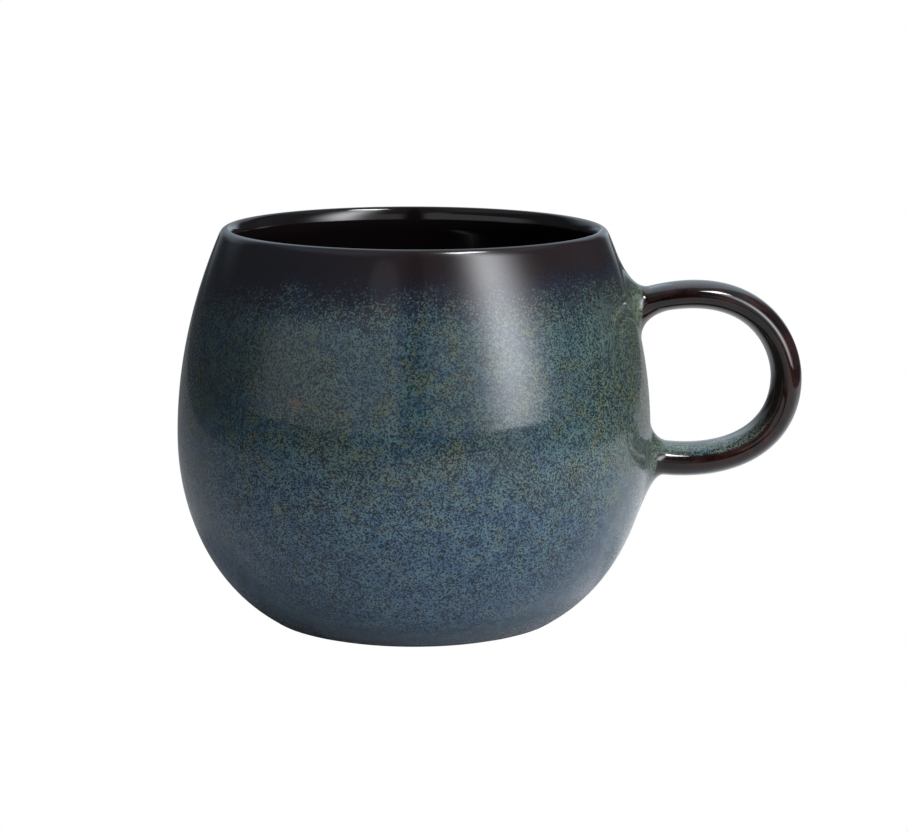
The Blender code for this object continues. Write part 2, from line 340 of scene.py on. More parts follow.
def turnedTree():
    # turns an outline of (radius, 0, height) points round the cup's axis
    group, tree, given, result = newGeometryTree("turnedOutline", [
        ("Turns", "NodeSocketInt", 96),
        ("Axis", "NodeSocketVector", None),
        ("Wave Height", "NodeSocketFloat", 0.0),
        ("Wave Below", "NodeSocketFloat", 0.0),
        ("Seed", "NodeSocketFloat", 4.0),
        ("Material", "NodeSocketMaterial", None),
    ])
    outline = given.outputs["Geometry"]
    mesh, row, turn = ringGrid(tree, outline, given.outputs["Turns"])
    place = tree.add("GeometryNodeInputPosition").outputs[0]
    spotOnLine = sampled(tree, outline, "FLOAT_VECTOR", place, row)
    point = tree.add("ShaderNodeSeparateXYZ", {0: spotOnLine})
    radius, height = point.outputs["X"], point.outputs["Z"]
    across = tree.times(radius, tree.math("COSINE", turn))
    along = tree.times(radius, tree.math("SINE", turn))
    # the lowest rows wander up and down a little, as a wiped glaze edge does
    compass = tree.add("ShaderNodeCombineXYZ", {
        "X": tree.math("COSINE", turn),
        "Y": tree.math("SINE", turn),
        "Z": given.outputs["Seed"],
    })
    wander = tree.minus(tree.noise(compass.outputs[0], 7.0, 3.0), 0.5)
    low = tree.ramp(height, 0.0, given.outputs["Wave Below"], 1.0, 0.0)
    lift = tree.times(tree.times(wander, low), given.outputs["Wave Height"])
    lifted = tree.plus(height, lift)
    spot = tree.add("ShaderNodeCombineXYZ", {"X": across, "Y": along, "Z": lifted})
    position = tree.vectorMath("ADD", spot.outputs[0], given.outputs["Axis"])
    finishTree(tree, mesh, position, result, given.outputs["Material"])
    return group


def sweptTree():
    # sweeps an oval section along a line whose points hold their half thickness and side
    group, tree, given, result = newGeometryTree("sweptBar", [
        ("Sides", "NodeSocketInt", 32),
        ("Breadth", "NodeSocketFloat", 1.8),
        ("Squareness", "NodeSocketFloat", 1.0),
        ("Material", "NodeSocketMaterial", None),
    ])
    line = given.outputs["Geometry"]
    mesh, row, turn = ringGrid(tree, line, given.outputs["Sides"])
    place = tree.add("GeometryNodeInputPosition").outputs[0]
    named = "GeometryNodeInputNamedAttribute"
    half = tree.add(named, {"Name": "halfThickness"}, data_type="FLOAT")
    side = tree.add(named, {"Name": "side"}, data_type="FLOAT_VECTOR")
    centre = sampled(tree, line, "FLOAT_VECTOR", place, row)
    size = sampled(tree, line, "FLOAT", half.outputs[0], row)
    sideways = sampled(tree, line, "FLOAT_VECTOR", side.outputs[0], row)

    def squared(wave):
        power = tree.math("POWER", tree.math("ABSOLUTE", wave), given.outputs["Squareness"])
        return tree.times(tree.math("SIGN", wave), power)

    out = tree.times(size, squared(tree.math("COSINE", turn)))
    broad = tree.times(size, given.outputs["Breadth"])
    wide = tree.times(broad, squared(tree.math("SINE", turn)))
    outwards = tree.vectorMath("SCALE", sideways, scale=out)
    across = tree.add("ShaderNodeCombineXYZ", {"Y": wide}).outputs[0]
    position = tree.vectorMath("ADD", tree.vectorMath("ADD", centre, outwards), across)
    finishTree(tree, mesh, position, result, given.outputs["Material"])
    return group


def madeByTree(name, points, group, values, pointValues=None):
    # runs a tree on a polyline and returns the plain mesh object that it gives
    mesh = bpy.data.meshes.new(name + "Line")
    edges = [(i, i + 1) for i in range(len(points) - 1)]
    mesh.from_pydata([tuple(point) for point in points], edges, [])
    for attribute, (kind, key, entries) in (pointValues or {}).items():
        layer = mesh.attributes.new(attribute, kind, "POINT")
        layer.data.foreach_set(key, [x for entry in entries for x in entry])
    guide = bpy.data.objects.new(name + "Guide", mesh)
    bpy.context.scene.collection.objects.link(guide)
    modifier = guide.modifiers.new("Shape", "NODES")
    modifier.node_group = group
    for item in group.interface.items_tree:
        if item.item_type == "SOCKET" and item.in_out == "INPUT" and item.name in values:
            modifier[item.identifier] = values[item.name]
    evaluated = guide.evaluated_get(bpy.context.evaluated_depsgraph_get())
    plain = bpy.data.meshes.new_from_object(evaluated)
    bpy.data.objects.remove(guide, do_unlink=True)
    plain.name = name
    piece = bpy.data.objects.new(name, plain)
    bpy.context.scene.collection.objects.link(piece)
    return piece


loop = {
    "upperArmBelowLip": 17.2 * mm,
    "lowerArmHeight": 35.5 * mm,
    "gripShare": 0.516,
    "upperArmRise": math.radians(17.7),
    "lowerArmDrop": math.radians(9.1),
    "upperFullness": (0.916, 0.523),
    "lowerFullness": (0.731, 0.646),
    "upperThickness": 5.95 * mm,
    "gripThickness": 6.75 * mm,
    "lowerThickness": 7.5 * mm,
    "breadth": 1.8,
    "squareness": 1.0,  # below 1 the oval section is fuller at its corners
    "sides": 64,
    "rings": 200,
}
gripReach = handleHigh.x - axisX - loop["gripThickness"] / 2
projection = gripReach - bellyRadius


def handleSpans():
    upperHeight = cupHeight - loop["upperArmBelowLip"]
    lowerHeight = loop["lowerArmHeight"]
    gripHeight = lowerHeight + (upperHeight - lowerHeight) * loop["gripShare"]
    upperRoot = Vector((wallRadius(upperHeight), upperHeight))
    lowerRoot = Vector((wallRadius(lowerHeight), lowerHeight))
    grip = Vector((gripReach, gripHeight))
    upperPull = heading(loop["upperArmRise"]) * projection * loop["upperFullness"][0]
    lowerPull = heading(-loop["lowerArmDrop"]) * projection * loop["lowerFullness"][1]
    above = Vector((0, (upperHeight - gripHeight) * loop["upperFullness"][1]))
    below = Vector((0, (gripHeight - lowerHeight) * loop["lowerFullness"][0]))
    return (
        (upperRoot, upperRoot + upperPull, grip + above, grip),
        (grip, grip - below, lowerRoot + lowerPull, lowerRoot),
    )


upperSpan, lowerSpan = handleSpans()
linePoints = curvePoints(upperSpan, 200) + curvePoints(lowerSpan, 200)[1:]
lineLengths = [0.0]
for before, after in zip(linePoints, linePoints[1:]):
    lineLengths.append(lineLengths[-1] + (after - before).length)
lineLength = lineLengths[-1]
gripLength = lineLengths[199]


def linePoint(distance):
    # a point of the handle's middle line, by its distance from the upper root
    if distance <= 0:
        return linePoints[0] + (linePoints[1] - linePoints[0]).normalized() * distance
    if distance >= lineLength:
        past = distance - lineLength
        return linePoints[-1] + (linePoints[-1] - linePoints[-2]).normalized() * past
    i = 1
    while lineLengths[i] < distance:
        i += 1
    share = (distance - lineLengths[i - 1]) / (lineLengths[i] - lineLengths[i - 1])
    return linePoints[i - 1].lerp(linePoints[i], share)


def lineSide(distance):
    # square to the middle line in its plane, pointing to the loop's outer side
    along = linePoint(distance + 0.2 * mm) - linePoint(distance - 0.2 * mm)
    return Vector((-along.y, along.x)).normalized()


def halfThickness(distance):
    if distance < gripLength:
        start, end = loop["upperThickness"], loop["gripThickness"]
        share = max(distance, 0.0) / gripLength
    else:
        start, end = loop["gripThickness"], loop["lowerThickness"]
        share = (min(distance, lineLength) - gripLength) / (lineLength - gripLength)
    return (start + (end - start) * share) / 2


def inFrame(point, y=0.0):
    # a (distance from the axis, height) point of the handle's plane, in the row frame
    return Vector((axisX + point.x, axisY + y, point.y))


def sectionPoint(distance, turn, grow=0.0):
    # on the handle's skin, at a turn round its section, grown or shrunk by a length
    def squared(wave):
        return math.copysign(abs(wave) ** loop["squareness"], wave)

    half = halfThickness(distance)
    out = (half + grow) * squared(math.cos(turn))
    wide = (half * loop["breadth"] + grow) * squared(math.sin(turn))
    return inFrame(linePoint(distance) + lineSide(distance) * out, wide)


# how far each fillet runs along the handle and over the wall: on the loop's outer side, at the
# handle's two flanks, and on the loop's inner side
collars = {
    "upper": {"reach": (4.6, 3.0, 8.0), "spread": (10.0, 3.2, 5.6)},
    "lower": {"reach": (3.9, 3.2, 4.2), "spread": (14.0, 3.4, 5.5)},
    "fullness": 0.62,
    "sink": 0.012 * mm,  # the edges dip this far into the skins that they run out on
    "wallDepth": 1.2 * mm,  # how deep the hidden ends lie in the wall and in the handle
    "handleDepth": 0.8 * mm,
    "rootDepth": 2.0 * mm,
    "around": 128,
    "rows": 28,
}


def byTurn(amounts, turn, sharpness=1.5):
    # blends the outer, flank and inner amounts round the section
    outer, flank, inner = amounts
    lean = math.cos(turn)
    end = outer if lean > 0 else inner
    return (flank + (end - flank) * abs(lean) ** sharpness) * mm


def wallPoint(point):
    # the wall's skin at a point's height and Y, on the handle's side
    radius = wallRadius(point.z)
    y = point.y - axisY
    return Vector((axisX + math.sqrt(max(radius * radius - y * y, 0.0)), point.y, point.z))


def wallNormal(point):
    slope = (wallRadius(point.z + 0.1 * mm) - wallRadius(point.z - 0.1 * mm)) / (0.2 * mm)
    flat = Vector((point.x - axisX, point.y - axisY, 0)).normalized()
    return Vector((flat.x, flat.y, -slope)).normalized()


def collarMesh(name, atLowerRoot, amounts):
    # a fillet that leaves the handle along its skin and runs out along the wall's
    rows = []
    for i in range(collars["around"]):
        turn = 2 * math.pi * i / collars["around"]
        reach = byTurn(amounts["reach"], turn)
        spread = byTurn(amounts["spread"], turn, 1.8)

        def onHandle(fromWall, grow=0.0):
            distance = lineLength - fromWall if atLowerRoot else fromWall
            return sectionPoint(distance, turn, grow)

        corner = wallPoint(onHandle(0.0))
        spreadPoint = wallPoint(onHandle(0.0, spread))
        normal = wallNormal(spreadPoint)
        towards = corner - spreadPoint
        towards = towards - normal * towards.dot(normal)
        wallPull = spreadPoint + towards * collars["fullness"]
        skinPull = onHandle(reach * (1 - collars["fullness"]))
        start = spreadPoint - normal * collars["sink"]
        end = onHandle(reach, -collars["sink"])
        fillet = curvePoints((start, wallPull, skinPull, end), collars["rows"])
        deepIn = spreadPoint - normal * collars["wallDepth"]
        rows.append([deepIn] + fillet + [onHandle(reach + 0.2 * mm, -collars["handleDepth"])])
    depth = collars["rootDepth"]
    rootCentre = inFrame(linePoint(lineLength + depth if atLowerRoot else -depth))
    leastReach = min(amounts["reach"]) * mm
    endCentre = inFrame(linePoint(lineLength - leastReach if atLowerRoot else leastReach))

    shape = bmesh.new()
    grid = [[shape.verts.new(point) for point in row] for row in rows]
    inner = shape.verts.new(rootCentre)
    outer = shape.verts.new(endCentre)
    count = len(grid)
    for i in range(count):
        a, b = grid[i], grid[(i + 1) % count]
        shape.faces.new((inner, a[0], b[0]))
        for k in range(len(a) - 1):
            shape.faces.new((a[k], a[k + 1], b[k + 1], b[k]))
        shape.faces.new((a[-1], outer, b[-1]))
    bmesh.ops.recalc_face_normals(shape, faces=shape.faces)
    mesh = bpy.data.meshes.new(name)
    shape.to_mesh(mesh)
    shape.free()
    mesh.shade_smooth()
    mesh.set_sharp_from_angle(angle=math.radians(38))
    piece = bpy.data.objects.new(name, mesh)
    bpy.context.scene.collection.objects.link(piece)
    return piece


def shaderTree(name):
    material = bpy.data.materials.new(name)
    material.use_nodes = True
    tree = Tree(material.node_tree)
    shader = material.node_tree.nodes["Principled BSDF"]
    return material, tree, shader


def cupPlace(tree):
    # object coordinates measured from the cup's axis, in metres
    objectPlace = tree.add("ShaderNodeTexCoord").outputs["Object"]
    return tree.vectorMath("SUBTRACT", objectPlace, (axisX, axisY, 0.0))


glaze = {
    "rimBrown": (0.0120, 0.0076, 0.0082),
    "rimBlue": (0.0085, 0.0086, 0.0125),
    "insideBlack": (0.0045, 0.0030, 0.0032),
    "darkSpeck": (0.0045, 0.0120, 0.0205),
    "indigoSpeck": (0.0075, 0.0075, 0.0150),
    "teal": (0.0640, 0.1200, 0.1260),
    "blue": (0.0400, 0.0820, 0.1220),
    "green": (0.0720, 0.1060, 0.0860),
    "olive": (0.0960, 0.1120, 0.0660),
    "mauve": (0.0660, 0.0700, 0.1050),
    "rust": (0.1300, 0.0800, 0.0500),
    "pool": (0.1050, 0.1350, 0.0950),
    "handleDark": (0.0045, 0.0022, 0.0020),
    "handleRed": (0.0210, 0.0066, 0.0050),
    "rimLine": 77.1 * mm,  # where the dark rim gives way, at the front
    "rimStart": 1.0 * mm,  # the plain brown starts and is whole this far above that line
    "rimWhole": 5.5 * mm,
    "grain": 2200.0,  # speckles to the metre
    "cells": 3800.0,
    "patch": 290.0,
    "grainContrast": 0.10,  # half the noise range over which a speck goes from dark to light
    "upperBrownStart": 50.0 * mm,  # from the cup's axis
    "lowerBrownStart": 53.0 * mm,
}
upperRoot = inFrame(linePoint(0)) - Vector((axisX, axisY, 0))
lowerRoot = inFrame(linePoint(lineLength)) - Vector((axisX, axisY, 0))


def reactiveGlaze(tree, place):
    # the body's glaze: dark specks in a pale teal that runs blue, olive and mauve, under a dark
    # rim. Gives its colour, the rim's share and the speckle
    parts = tree.add("ShaderNodeSeparateXYZ", {0: place})
    x, z = parts.outputs["X"], parts.outputs["Z"]

    # fine crisp grain: small cells, each of its own tone, gathered by a softer noise
    cells = tree.add("ShaderNodeTexVoronoi", {"Vector": place, "Scale": glaze["cells"]})
    tone = tree.add("ShaderNodeSeparateXYZ", {0: cells.outputs["Color"]}).outputs["X"]
    softGrain = tree.noise(place, glaze["grain"], 2.0, 0.55)
    gathered = tree.math("MULTIPLY_ADD", softGrain, 0.55, -0.05)
    grain = tree.math("MULTIPLY_ADD", tone, 0.55, gathered)
    offset = tree.vectorMath("ADD", place, (0.31, 0.17, 0.05))
    patch = tree.noise(place, glaze["patch"], 3.0, 0.6)
    warm = tree.noise(offset, glaze["patch"] * 0.7, 3.0, 0.65)
    cloud = tree.noise(offset, 60.0, 2.0, 0.5)
    grain2 = tree.noise(offset, glaze["grain"] * 0.8, 2.0, 0.55)

    # the pale ground
    lower = tree.ramp(z, 46.0 * mm, 12.0 * mm, 0.0, 0.5)
    leftBlue = tree.ramp(x, -20.0 * mm, -48.0 * mm, 0.0, 0.35)
    blueness = tree.plus(tree.ramp(patch, 0.40, 0.66), tree.plus(lower, leftBlue))
    colour = tree.mixColour(blueness, glaze["teal"], glaze["blue"])
    greenness = tree.plus(
        tree.ramp(x, 22.0 * mm, 48.0 * mm), tree.ramp(cloud, 0.52, 0.62, 0.0, 0.6)
    )
    upper = tree.ramp(z, 26.0 * mm, 46.0 * mm)
    colour = tree.mixColour(tree.times(greenness, upper), colour, glaze["green"])
    warmth = tree.plus(tree.times(warm, 0.8), tree.times(grain2, 0.4))
    high = tree.ramp(z, 14.0 * mm, 50.0 * mm, 0.25, 0.85)
    side = tree.ramp(x, 36.0 * mm, 50.0 * mm, 0.0, 0.09)
    oliveShare = tree.times(tree.ramp(tree.plus(warmth, side), 0.60, 0.74), high)
    colour = tree.mixColour(oliveShare, colour, glaze["olive"])
    mauveShare = tree.ramp(warmth, 0.52, 0.42, 0.0, 0.45)
    colour = tree.mixColour(mauveShare, colour, glaze["mauve"])

    # the colour pales and turns bluer towards the foot, and pales beside the handle
    pale = tree.ramp(z, 28.0 * mm, 58.0 * mm, 1.26, 0.75)
    sideShare = tree.plus(
        tree.ramp(x, 18.0 * mm, 36.0 * mm, 0.0, 0.26),
        tree.ramp(x, -12.0 * mm, -40.0 * mm, 0.0, -0.04),
    )
    middleHeight = tree.times(
        tree.ramp(z, 34.0 * mm, 44.0 * mm), tree.ramp(z, 78.0 * mm, 66.0 * mm)
    )
    lowLeft = tree.times(
        tree.ramp(x, -12.0 * mm, -42.0 * mm, 0.0, 0.26), tree.ramp(z, 58.0 * mm, 42.0 * mm)
    )
    gain = tree.plus(tree.math("MULTIPLY_ADD", sideShare, middleHeight, pale), lowLeft)
    blueGain = tree.times(gain, tree.ramp(z, 34.0 * mm, 56.0 * mm, 1.12, 0.96))
    tint = tree.add("ShaderNodeCombineXYZ", {"X": gain, "Y": gain, "Z": blueGain}).outputs[0]
    colour = tree.mixColour(1.0, colour, tint, "MULTIPLY")

    # specks, which crowd together where the clouds are dark and under the rim
    left = tree.ramp(x, -52.0 * mm, -24.0 * mm, -4.0 * mm, 0.0)
    right = tree.ramp(x, 15.0 * mm, 45.0 * mm, 0.0, 0.5 * mm)
    ragged = tree.times(tree.minus(tree.noise(place, 110.0, 3.0, 0.65), 0.5), 7.0 * mm)
    line = tree.plus(tree.plus(left, right), tree.plus(ragged, glaze["rimLine"]))
    above = tree.minus(z, line)
    nearRim = tree.ramp(above, -7.0 * mm, 0.0 * mm, 0.0, 0.16)
    veryNear = tree.ramp(above, -1.5 * mm, 5.0 * mm, 0.0, 0.25)
    shade = tree.times(tree.minus(cloud, 0.5), 0.16)
    shade = tree.math("MULTIPLY_ADD", tree.minus(patch, 0.5), 0.14, shade)
    middle = tree.plus(tree.plus(nearRim, veryNear), tree.plus(shade, 0.50))
    speckle = tree.ramp(
        tree.minus(grain, middle), -glaze["grainContrast"], glaze["grainContrast"],
        smooth=False,
    )
    indigo = tree.ramp(above, -10.0 * mm, 0.0 * mm)
    darkSpeck = tree.mixColour(indigo, glaze["darkSpeck"], glaze["indigoSpeck"])
    colour = tree.mixColour(speckle, darkSpeck, colour)

    # rare rust specks
    rustPlace = tree.vectorMath("ADD", place, (0.07, 0.03, 0.11))
    rust = tree.ramp(tree.noise(rustPlace, 230.0, 2.0, 0.5), 0.70, 0.76, 0.0, 0.7)
    rust = tree.times(rust, tree.ramp(speckle, 0.0, 1.0, 0.3, 1.0))
    colour = tree.mixColour(rust, colour, glaze["rust"])

    # glaze pools pale and green round the handle's roots
    near = tree.math(
        "MINIMUM",
        tree.vectorMath("DISTANCE", place, tuple(upperRoot)),
        tree.vectorMath("DISTANCE", place, tuple(lowerRoot)),
    )
    wander = tree.math("MULTIPLY_ADD", tree.minus(warm, 0.5), 8.0 * mm, near)
    pool = tree.ramp(wander, 11.5 * mm, 6.5 * mm, 0.0, 0.8)
    poolShare = tree.times(pool, tree.ramp(speckle, 0.0, 1.0, 0.25, 1.0))
    colour = tree.mixColour(poolShare, colour, glaze["pool"])

    # the bare brown of the rim, which small pale specks still break through at its line
    dryness = tree.math("MULTIPLY_ADD", tree.minus(grain2, 0.5), 9.0 * mm, above)
    rim = tree.ramp(dryness, glaze["rimStart"], glaze["rimWhole"])
    rimTint = tree.plus(
        tree.ramp(x, 5.0 * mm, -30.0 * mm), tree.ramp(patch, 0.55, 0.75, 0.0, 0.5)
    )
    rimColour = tree.mixColour(rimTint, glaze["rimBrown"], glaze["rimBlue"])
    colour = tree.mixColour(rim, colour, rimColour)
    return colour, rim, speckle


def brownGlaze(tree, place):
    # the handle's glaze, almost black with red-brown streaks
    stretched = tree.vectorMath("MULTIPLY", place, (1.0, 2.2, 1.0))
    cloud = tree.noise(stretched, 190.0, 4.0, 0.6)
    grain = tree.noise(place, 1500.0, 2.0, 0.5)
    redness = tree.ramp(cloud, 0.38, 0.68)
    colour = tree.mixColour(redness, glaze["handleDark"], glaze["handleRed"])
    gain = tree.ramp(grain, 0.35, 0.65, 0.75, 1.3)
    grey = tree.add("ShaderNodeCombineXYZ", {"X": gain, "Y": gain, "Z": gain}).outputs[0]
    return tree.mixColour(1.0, colour, grey, "MULTIPLY")


def finishGlaze(tree, shader, colour, glassy, speckle, smooth):
    # glassy is 1 where the glaze is smooth and dark, 0 where it is speckled
    tree.put(shader.inputs["Base Color"], colour)
    dull = tree.ramp(speckle, 0.0, 1.0, 0.32, 0.22)
    rough = tree.add("ShaderNodeMix", {0: glassy, 2: dull, 3: smooth}).outputs[0]
    tree.put(shader.inputs["Roughness"], rough)
    shader.inputs["IOR"].default_value = 1.45
    shader.inputs["Specular IOR Level"].default_value = 0.2
    shader.inputs["Coat Weight"].default_value = 0.75
    shader.inputs["Coat Roughness"].default_value = 0.06
    shader.inputs["Coat IOR"].default_value = 1.45
    strength = tree.ramp(glassy, 0.0, 1.0, 0.16, 0.02)
    bump = tree.add(
        "ShaderNodeBump", {"Strength": strength, "Distance": 0.05 * mm, "Height": speckle}
    )
    tree.put(shader.inputs["Normal"], bump.outputs[0])


def bodyMaterial():
    material, tree, shader = shaderTree("bodyGlaze")
    place = cupPlace(tree)
    colour, rim, speckle = reactiveGlaze(tree, place)
    parts = tree.add("ShaderNodeSeparateXYZ", {0: place})
    z = parts.outputs["Z"]
    flat = tree.vectorMath("MULTIPLY", place, (1.0, 1.0, 0.0))
    out = tree.vectorMath("LENGTH", flat)
    # the inside is the plain dark glaze, from the lip's crest down
    normal = tree.add("ShaderNodeNewGeometry").outputs["Normal"]
    inward = tree.math("DIVIDE", tree.vectorMath("DOT_PRODUCT", flat, normal), out)
    walls = tree.times(tree.ramp(inward, 0.10, -0.20), tree.ramp(z, 4.0 * mm, 6.0 * mm))
    floor = tree.times(tree.ramp(out, 40.0 * mm, 38.0 * mm), tree.ramp(z, 5.0 * mm, 6.5 * mm))
    inside = tree.math("MAXIMUM", walls, floor)
    colour = tree.mixColour(inside, colour, glaze["insideBlack"])
    # the glaze is thin and dull at the lip's crest, and dull deep inside
    deepInside = tree.times(inside, tree.ramp(z, 81.0 * mm, 75.0 * mm))
    smooth = tree.ramp(inside, 0.0, 1.0, 0.19, 0.08)
    smooth = tree.math("MULTIPLY_ADD", deepInside, 0.22, smooth)
    finishGlaze(tree, shader, colour, tree.math("MAXIMUM", rim, inside), speckle, smooth)
    coat = tree.ramp(z, 86.0 * mm, 86.6 * mm, 0.75, 0.18)
    coat = tree.times(coat, tree.ramp(deepInside, 0.0, 1.0, 1.0, 0.25))
    tree.put(shader.inputs["Coat Weight"], coat)
    return material


def brownShare(tree, place):
    # 1 past the straight edges where the handle's brown starts
    parts = tree.add("ShaderNodeSeparateXYZ", {0: place})
    x, z = parts.outputs["X"], parts.outputs["Z"]
    slant = tree.math("MULTIPLY_ADD", tree.minus(z, 31.5 * mm), 0.17, glaze["lowerBrownStart"])
    start = tree.add("ShaderNodeMix", {
        0: tree.ramp(z, 51.0 * mm, 53.0 * mm), 2: slant, 3: glaze["upperBrownStart"],
    }).outputs[0]
    wander = tree.times(tree.minus(tree.noise(place, 900.0, 2.0, 0.5), 0.5), 0.7 * mm)
    past = tree.minus(tree.plus(x, wander), start)
    return tree.ramp(past, -0.12 * mm, 0.12 * mm)


def runGlaze(tree, place):
    # where the body's glaze has run over the handle: its lower arm's top, inside the loop
    normal = tree.add("ShaderNodeNewGeometry").outputs["Normal"]
    loopMiddle = (66.0 * mm, 0.0, 53.5 * mm)
    inPlane = tree.vectorMath("MULTIPLY", place, (1.0, 0.0, 1.0))
    towards = tree.vectorMath("SUBTRACT", loopMiddle, inPlane)
    inner = tree.vectorMath("DOT_PRODUCT", normal, tree.vectorMath("NORMALIZE", towards))
    up = tree.add("ShaderNodeSeparateXYZ", {0: normal}).outputs["Z"]
    wander = tree.times(tree.minus(tree.noise(place, 350.0, 3.0, 0.6), 0.5), 0.30)
    height = tree.add("ShaderNodeSeparateXYZ", {0: place}).outputs["Z"]
    low = tree.ramp(height, 47.0 * mm, 38.0 * mm)
    innerShare = tree.ramp(tree.plus(inner, wander), 0.62, 0.78)
    upShare = tree.ramp(tree.plus(up, wander), 0.62, 0.80, 0.0, 0.8)
    return tree.times(tree.math("MAXIMUM", innerShare, upShare), low)


def handleMaterial(name):
    material, tree, shader = shaderTree(name)
    place = cupPlace(tree)
    brown = brownGlaze(tree, place)
    colour, _, speckle = reactiveGlaze(tree, place)
    run = runGlaze(tree, place)
    share = tree.times(brownShare(tree, place), tree.minus(1.0, run))
    colour = tree.mixColour(share, colour, brown)
    glassy = tree.ramp(share, 0.0, 1.0, 0.5, 1.0, smooth=False)
    finishGlaze(tree, shader, colour, glassy, speckle, 0.06)
    return material


clay = {
    "pale": (0.42, 0.33, 0.24),
    "warm": (0.30, 0.22, 0.155),
    "sandGrain": (0.16, 0.10, 0.07),
}


def clayMaterial():
    material, tree, shader = shaderTree("bareClay")
    place = cupPlace(tree)
    sand = tree.noise(place, 3200.0, 3.0, 0.7)
    cloud = tree.noise(place, 220.0, 3.0, 0.6)
    colour = tree.mixColour(tree.ramp(cloud, 0.3, 0.7), clay["warm"], clay["pale"])
    grains = tree.ramp(sand, 0.60, 0.72, 0.0, 0.6)
    colour = tree.mixColour(grains, colour, clay["sandGrain"])
    tree.put(shader.inputs["Base Color"], colour)
    tree.put(shader.inputs["Roughness"], tree.ramp(sand, 0.3, 0.7, 0.75, 0.95))
    bump = tree.add("ShaderNodeBump", {"Strength": 0.5, "Distance": 0.08 * mm, "Height": sand})
    tree.put(shader.inputs["Normal"], bump.outputs[0])
    return material


bodyGlaze = bodyMaterial()
handleGlaze = handleMaterial("handleGlaze")
pooledGlaze = handleMaterial("pooledGlaze")
bareClay = clayMaterial()
print("materials made")

turned = turnedTree()
axis = (axisX, axisY, 0.0)
glazedBowl = madeByTree(
    "glazedBowl", [(p.x, 0, p.y) for p in bowlOutline()], turned,
    {"Turns": cup["turns"], "Axis": axis, "Wave Height": cup["glazeEdgeWave"],
     "Wave Below": 1.6 * mm, "Material": bodyGlaze},
)
clayRing = madeByTree(
    "clayFootRing", [(p.x, 0, p.y) for p in footRingOutline()], turned,
    {"Turns": cup["turns"], "Axis": axis, "Material": bareClay},
)
print("cup turned:", len(glazedBowl.data.polygons), "faces")

stations = steps(0, lineLength, loop["rings"])
stationPoints = [linePoint(d) for d in stations]
sides = [lineSide(d) for d in stations]
halves = [halfThickness(d) for d in stations]
loopHandle = madeByTree(
    "loopHandle",
    [tuple(inFrame(stationPoints[0]))] + [tuple(inFrame(p)) for p in stationPoints]
    + [tuple(inFrame(stationPoints[-1]))],
    sweptTree(),
    {"Sides": loop["sides"], "Breadth": loop["breadth"], "Squareness": loop["squareness"],
     "Material": handleGlaze},
    {
        "halfThickness": ("FLOAT", "value", [(0.0,)] + [(h,) for h in halves] + [(0.0,)]),
        "side": ("FLOAT_VECTOR", "vector",
                 [(1.0, 0.0, 0.0)] + [(s.x, 0.0, s.y) for s in sides] + [(1.0, 0.0, 0.0)]),
    },
)
print("handle swept:", len(loopHandle.data.polygons), "faces")

upperCollar = collarMesh("upperCollar", False, collars["upper"])
lowerCollar = collarMesh("lowerCollar", True, collars["lower"])
for piece in (upperCollar, lowerCollar):
    piece.data.materials.append(pooledGlaze)
print("collars made")

for piece, nodes, slotName in (
    (glazedBowl, ("bowl",), "body_glaze"),
    (clayRing, ("foot_ring",), "bare_clay"),
    (loopHandle, ("handle",), "handle_glaze"),
    (upperCollar, ("upper_handle_joint",), "joint_glaze"),
    (lowerCollar, ("lower_handle_joint",), "joint_glaze"),
):
    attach(piece, "root")
    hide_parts(*nodes)

studio = {
    "cameraBack": 575.5 * mm,
    "cameraHeight": 153.1 * mm,
    "cameraPitch": math.radians(10.694),
    "cameraYaw": math.radians(0.880),
    "cameraRoll": math.radians(0.20),
    "lens": 104.27,
    "scrimTurn": 49.0,  # degrees to the right of the camera's side
    "scrimTopTurn": 45.0,
    "scrimLeftWidth": 8.5,
    "scrimRightWidth": 10.5,
    "scrimLight": 10.5,
    "room": 0.12,
    "leftWall": 0.64,
    "backWall": 0.85,
    "ceiling": 0.30,
}

camera = bpy.data.objects.new("camera", bpy.data.cameras.new("camera"))
bpy.context.scene.collection.objects.link(camera)
camera.data.lens = studio["lens"]
camera.data.sensor_width = 36.0
camera.location = (axisX, axisY - studio["cameraBack"], studio["cameraHeight"])
aimed = Euler((math.pi / 2 - studio["cameraPitch"], 0.0, -studio["cameraYaw"])).to_matrix()
camera.rotation_euler = (aimed @ Matrix.Rotation(studio["cameraRoll"], 3, "Z")).to_euler()
camera.data.clip_start = 0.01
camera.data.clip_end = 100.0
bpy.context.scene.camera = camera


